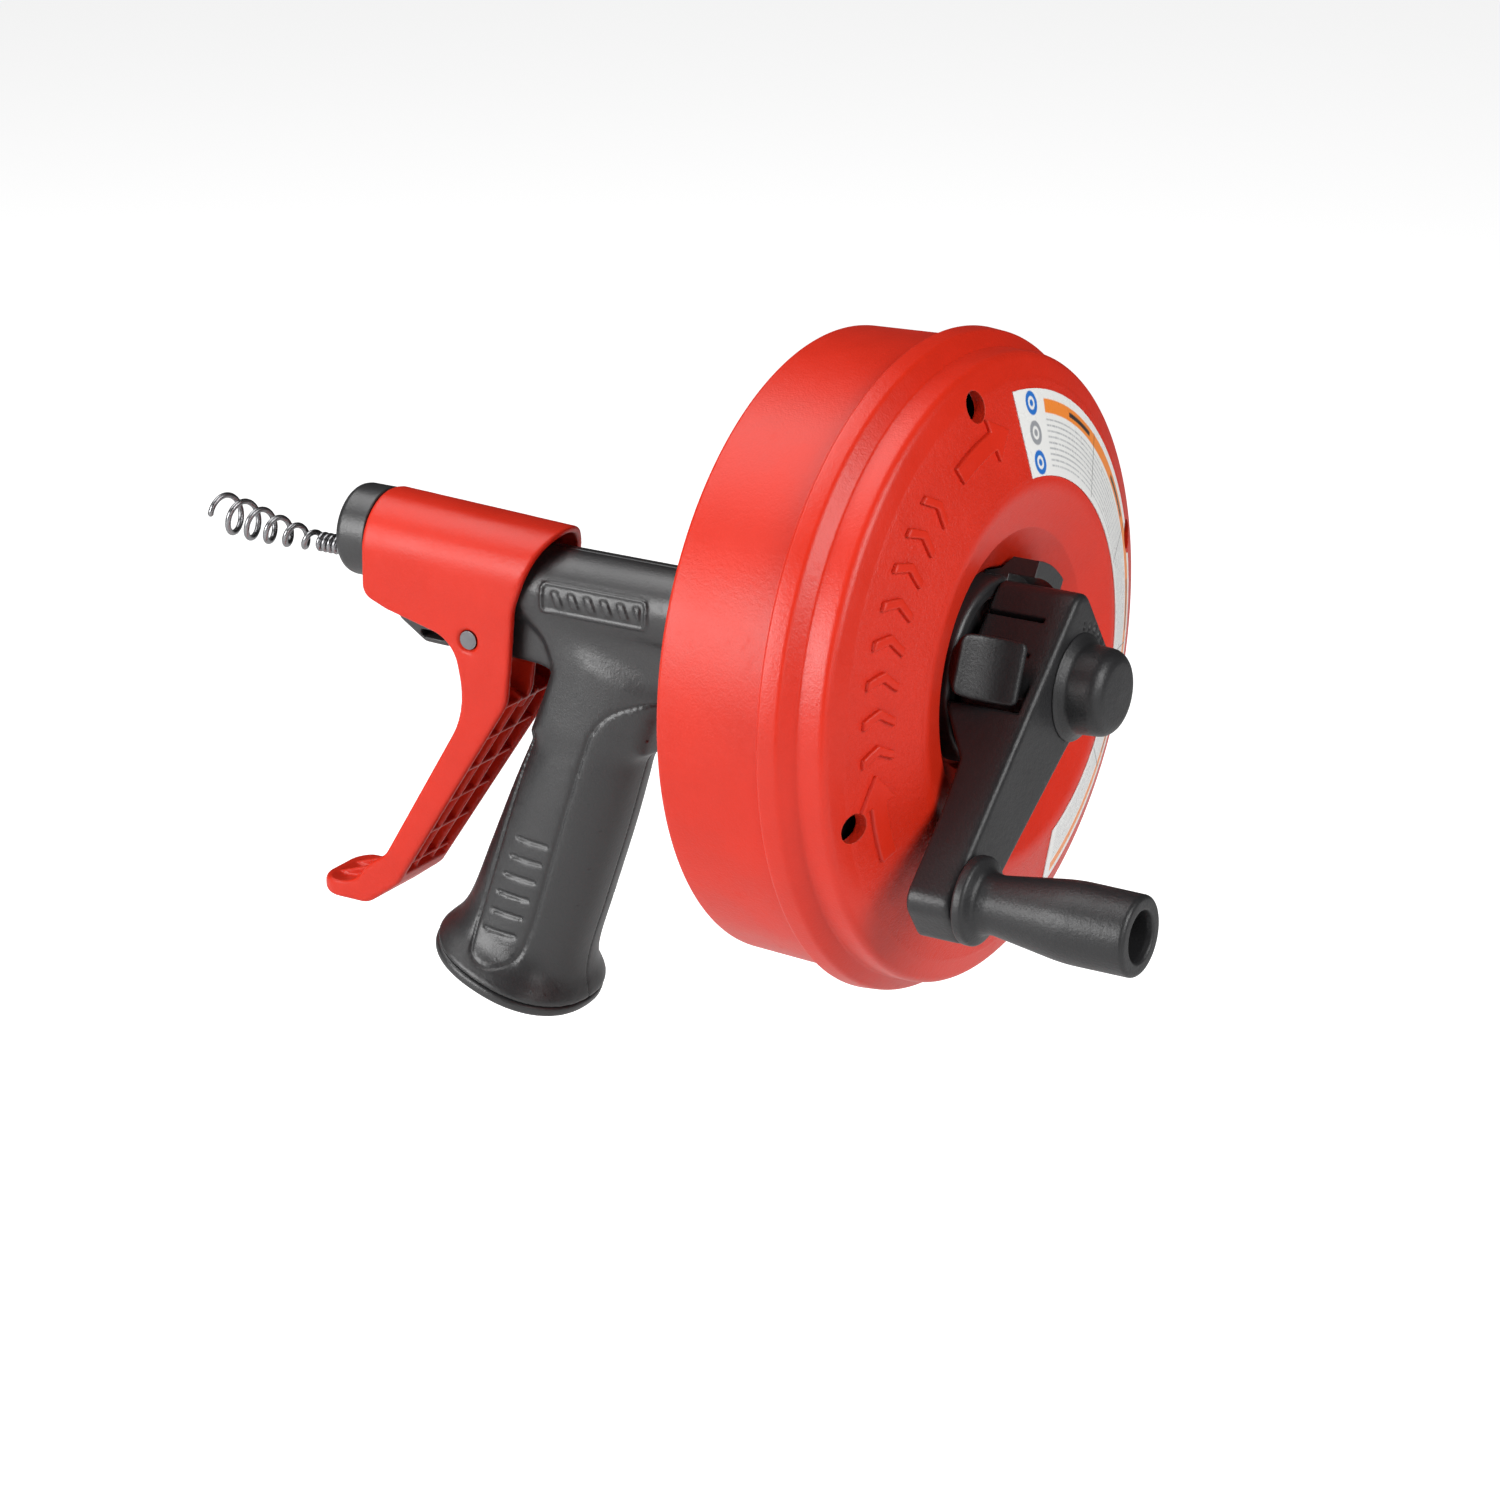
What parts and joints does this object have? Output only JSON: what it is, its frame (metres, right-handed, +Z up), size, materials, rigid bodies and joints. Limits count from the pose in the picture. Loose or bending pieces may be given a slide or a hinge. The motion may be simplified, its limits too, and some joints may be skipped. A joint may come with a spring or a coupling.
{
  "type": "hand drain snake machine",
  "caption": "Hand-held drain cleaner: pistol grip with autofeed trigger, round cable drum turned by a removable crank, and a spring cable with an open hook coil.",
  "frame": {"origin": "on the drum and cable axis, at the drum's front face", "axes": "+X along the cable axis towards the crank, -X out of the nose, +Z up with the grip pointing down"},
  "size_m": [0.3671, 0.1978, 0.2388],
  "materials": {
    "red_plastic": "fine moulded grain",
    "black_body": "satin moulded",
    "black_crank": "fine moulded grain",
    "guide_plastic": "smooth",
    "zinc_steel": "zinc plated",
    "dark_steel": "blackened",
    "cable_steel": "oiled spring steel",
    "bronze": "sintered",
    "label": "printed film"
  },
  "bodies": {
    "body": {"body_shell_left": "black_body", "body_shell_right": "black_body", "body_screws": "zinc_steel", "grip_base_cap": "black_body", "pivot_pin": "dark_steel", "trigger_spring": "dark_steel", "spindle": "zinc_steel", "thrust_washers": "zinc_steel", "retaining_ring": "zinc_steel", "cable_guide_tube": "guide_plastic", "lower_roller_axles": "dark_steel"},
    "lower_roller_left": {"lower_roller_left": "dark_steel"},
    "lower_roller_right": {"lower_roller_right": "dark_steel"},
    "trigger": {"trigger": "red_plastic", "nose_ring": "black_body", "upper_roller_axle": "dark_steel"},
    "upper_roller": {"upper_roller": "dark_steel"},
    "drum": {"drum_front_shell": "red_plastic", "drum_rear_cover": "red_plastic", "drum_label": "label", "cover_screws": "zinc_steel", "drum_bush": "bronze", "drum_hub": "black_body", "drive_shaft": "zinc_steel", "shaft_nut": "zinc_steel", "stored_cable": "cable_steel"},
    "cable": {"cable_lead": "cable_steel", "auger_tip": "cable_steel"},
    "crank": {"crank_arm": "black_crank", "hub_knob": "black_crank", "tab_springs": "dark_steel", "handle_bolt": "zinc_steel", "handle_washer": "zinc_steel", "handle_nut": "zinc_steel"},
    "squeeze_tab_left": {"squeeze_tab_left": "black_crank"},
    "squeeze_tab_right": {"squeeze_tab_right": "black_crank"},
    "handle": {"handle_grip": "black_crank"}
  },
  "joints": [
    {"name": "trigger_squeeze", "type": "hinge", "parent": "body", "child": "trigger", "pos_m": [-0.1187, 0, -0.0167], "axis": [0, -1, 0], "range_deg": [0, 6]},
    {"name": "drum_spin", "type": "hinge", "parent": "body", "child": "drum", "pos_m": [0, 0, 0], "axis": [1, 0, 0], "continuous": true},
    {"name": "cable_feed", "type": "slide", "parent": "drum", "child": "cable", "axis": [-1, 0, 0], "range_m": [0, 0.1]},
    {"name": "crank_pull_off", "type": "slide", "parent": "drum", "child": "crank", "axis": [1, 0, 0], "range_m": [0, 0.06]},
    {"name": "handle_spin", "type": "hinge", "parent": "crank", "child": "handle", "pos_m": [0.1, -0.0645, -0.0435], "axis": [1, 0, 0], "continuous": true},
    {"name": "left_tab_squeeze", "type": "slide", "parent": "crank", "child": "squeeze_tab_left", "axis": [0, 0.9272, -0.3746], "range_m": [0, 0.0025]},
    {"name": "right_tab_squeeze", "type": "slide", "parent": "crank", "child": "squeeze_tab_right", "axis": [0, -0.9272, 0.3746], "range_m": [0, 0.0025]},
    {"name": "upper_roller_spin", "type": "hinge", "parent": "trigger", "child": "upper_roller", "pos_m": [-0.139, 0, 0.01075], "axis": [0.9781, 0.2079, 0], "continuous": true},
    {"name": "lower_left_roller_spin", "type": "hinge", "parent": "body", "child": "lower_roller_left", "pos_m": [-0.139, -0.00593, -0.00343], "axis": [0.9781, 0.104, -0.1801], "continuous": true},
    {"name": "lower_right_roller_spin", "type": "hinge", "parent": "body", "child": "lower_roller_right", "pos_m": [-0.139, 0.00593, -0.00343], "axis": [0.9781, 0.104, 0.1801], "continuous": true}
  ]
}
